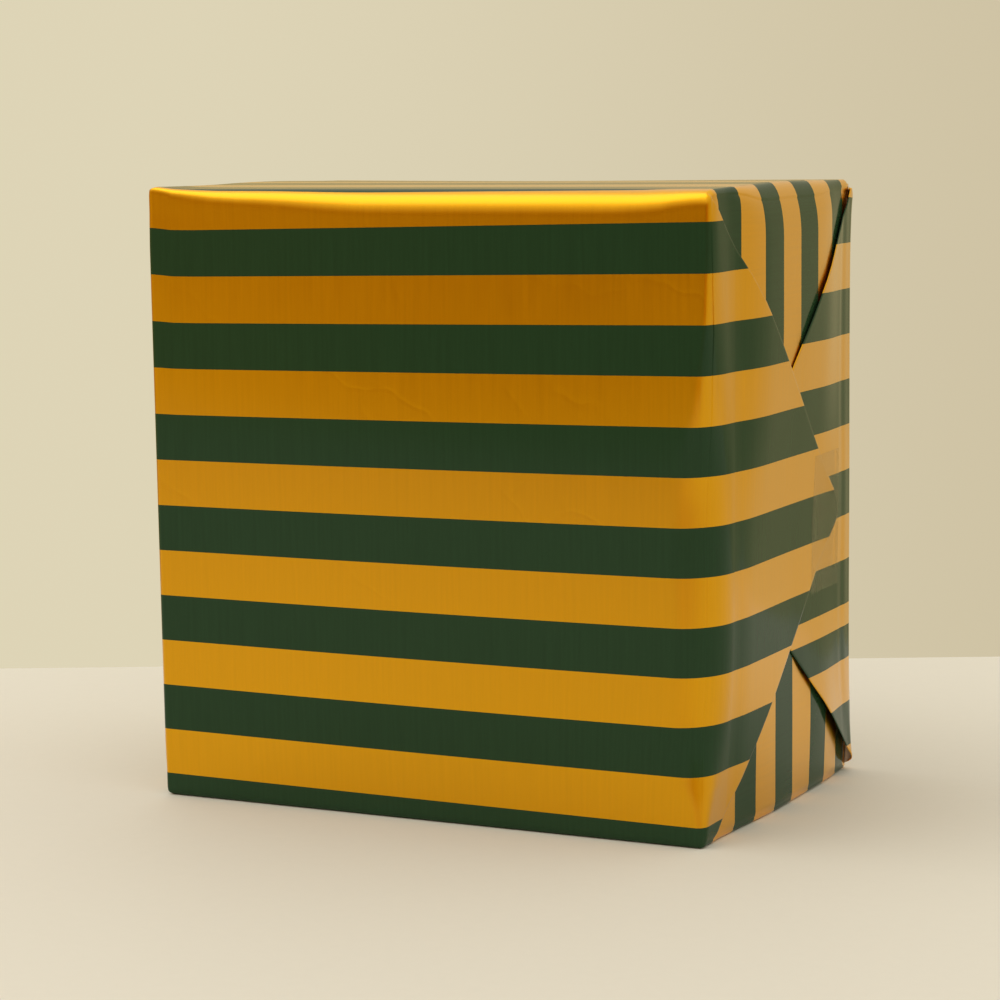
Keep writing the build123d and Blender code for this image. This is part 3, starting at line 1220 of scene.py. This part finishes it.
class GIFTBOX_OT_stage(bpy.types.Operator):
    """Set the table, the light and the camera"""

    bl_idname = "giftbox.stage"
    bl_label = "Stage"

    def execute(self, context):
        scene = context.scene
        studio = scene.gift_studio
        self.table(studio)
        self.world(scene, studio)
        self.softbox(scene, studio)
        scene.view_settings.view_transform = "Standard"
        self.camera(scene, studio)
        return {"FINISHED"}

    @staticmethod
    def softbox(scene, studio):
        lamp = bpy.data.lights.new("key_softbox", "AREA")
        lamp.shape = "RECTANGLE"
        lamp.size = lamp.size_y = SOFTBOX_SIDE
        lamp.energy = studio.key
        lamp.color = SOFTBOX_COLOUR
        softbox = bpy.data.objects.new("key_softbox", lamp)
        scene.collection.objects.link(softbox)
        softbox.location = SOFTBOX_PLACE
        aim = (SOFTBOX_TARGET - SOFTBOX_PLACE).to_track_quat("-Z", "Y")
        softbox.rotation_euler = aim.to_euler()

    @staticmethod
    def camera(scene, studio):
        data = bpy.data.cameras.new("camera")
        data.lens = studio.lens
        data.sensor_width = CAMERA_SENSOR
        data.clip_start, data.clip_end = CAMERA_NEAR, CAMERA_FAR
        camera = bpy.data.objects.new("camera", data)
        scene.collection.objects.link(camera)
        forward = AHEAD * math.cos(VIEW_PITCH) + Vector((0, 0, math.sin(VIEW_PITCH)))
        up = ASIDE.cross(forward)
        right = ASIDE * math.cos(VIEW_ROLL) + up * math.sin(VIEW_ROLL)
        top = up * math.cos(VIEW_ROLL) - ASIDE * math.sin(VIEW_ROLL)
        camera.rotation_euler = Matrix((right, top, -forward)).transposed().to_euler()
        camera.location = CAMERA_PLACE
        scene.camera = camera

    @staticmethod
    def table(studio):
        bpy.ops.mesh.primitive_cube_add(size=1, location=(0, 0, 0))
        top = bpy.context.object
        top.name = top.data.name = "table_top"
        for v in top.data.vertices:
            along = TABLE_BEHIND if v.co.y > 0 else -TABLE_BEFORE
            across = TABLE_ASIDE if v.co.x > 0 else -TABLE_ASIDE
            height = 0 if v.co.z > 0 else -TABLE_THICKNESS
            v.co = AHEAD * along + ASIDE * across + Vector((0, 0, height))
        tree, surface = new_material("pale_table")
        place = node(tree, "ShaderNodeTexCoord", (-1400, 0)).outputs["Object"]
        grain = noise(tree, (-1200, -300), place, scale=240.0, detail=3.0).outputs[0]
        fill(tree, surface, {
            "Base Color": mottled(tree, (-600, 0), grain, studio.table, 0.985, 1.01),
            "Roughness": 0.6,
            "Specular IOR Level": 0.2,
        })
        give(top, "pale_table")

    @staticmethod
    def world(scene, studio):
        """Lights the parcel from a room, and shows the camera a wall with painted shade that darkens
        it towards the right.
        """
        world = bpy.data.worlds.new("studio")
        scene.world = world
        world.use_nodes = True
        tree = world.node_tree
        direction = node(tree, "ShaderNodeTexCoord", (-1600, 0)).outputs["Generated"]

        def along(axis, limits, y):
            """Grows from 0 to 1 as the direction turns towards the axis."""
            dot = node(tree, "ShaderNodeVectorMath", (-1400, y), operation="DOT_PRODUCT")
            feed(tree, dot.inputs[0], direction)
            feed(tree, dot.inputs[1], axis)
            cosine = dot.outputs["Value"]
            return ramp(tree, (-1200, y), cosine, *limits, interpolation_type="SMOOTHSTEP")

        walls = along(WALLS, WALLS_RAMP, 100)
        above = along(ABOVE, ABOVE_RAMP, -200)
        onlooker = along(ONLOOKER, ONLOOKER_RAMP, -500)
        leftwards = along(LEFTWARDS, LEFTWARDS_RAMP, 400)
        dim = mixed(tree, (-1000, -300), leftwards, studio.dim_side, studio.warm_side)
        shade = [c * ONLOOKER_SHADE for c in studio.dim_side]
        dim = mixed(tree, (-900, -300), onlooker, dim, shade)
        level = mixed(tree, (-700, 0), walls, dim, studio.bright_side)
        room = tree.nodes["Background"]
        feed(tree, room.inputs["Color"], mixed(tree, (-500, 0), above, level, studio.ceiling))
        # The camera's wall runs from the lit left colour to the darker right one: painted shade
        # across the backdrop
        across = along(ASIDE, WALL_SHADE_RAMP, -800)
        colour = mixed(tree, (-500, -600), across, studio.lit_wall_left, studio.shaded_wall_right)
        wall = node(tree, "ShaderNodeBackground", (0, -200), Color=colour)
        seen = node(tree, "ShaderNodeLightPath", (-600, 300)).outputs["Is Camera Ray"]
        blend = node(tree, "ShaderNodeMixShader", (200, 0))
        for socket, value in zip(blend.inputs, (seen, room.outputs[0], wall.outputs[0])):
            feed(tree, socket, value)
        feed(tree, tree.nodes["World Output"].inputs["Surface"], blend.outputs[0])


OPERATORS = (
    GIFTBOX_OT_wrapping_paper,
    GIFTBOX_OT_flap_tapes,
    GIFTBOX_OT_seam_tapes,
    GIFTBOX_OT_carton,
    GIFTBOX_OT_stage,
)
SETTINGS = {
    "gift_paper": PaperSettings,
    "gift_tape": TapeSettings,
    "gift_carton": CartonSettings,
    "gift_studio": StudioSettings,
}


class GIFTBOX_PT_panel(bpy.types.Panel):
    """The steps in making the box, in order"""

    bl_idname = "GIFTBOX_PT_panel"
    bl_label = "Gift box"
    bl_space_type = "VIEW_3D"
    bl_region_type = "UI"
    bl_category = "Gift box"

    def draw(self, context):
        for operator in OPERATORS:
            self.layout.operator(operator.bl_idname)
        for name, group in SETTINGS.items():
            self.layout.label(text=name.removeprefix("gift_").capitalize())
            for key in group.__annotations__:
                self.layout.prop(getattr(context.scene, name), key)


CLASSES = (*SETTINGS.values(), *OPERATORS, GIFTBOX_PT_panel)


def register():
    for cls in CLASSES:
        bpy.utils.register_class(cls)
    for name, cls in SETTINGS.items():
        setattr(bpy.types.Scene, name, bpy.props.PointerProperty(type=cls))


def unregister():
    for name in SETTINGS:
        delattr(bpy.types.Scene, name)
    for cls in reversed(CLASSES):
        bpy.utils.unregister_class(cls)


def main():
    register()
    make_materials()
    bpy.ops.giftbox.wrapping_paper()
    bpy.ops.giftbox.flap_tapes()
    bpy.ops.giftbox.seam_tapes()
    bpy.ops.giftbox.carton()
    bpy.ops.giftbox.stage()


if __name__ == "__main__":
    main()
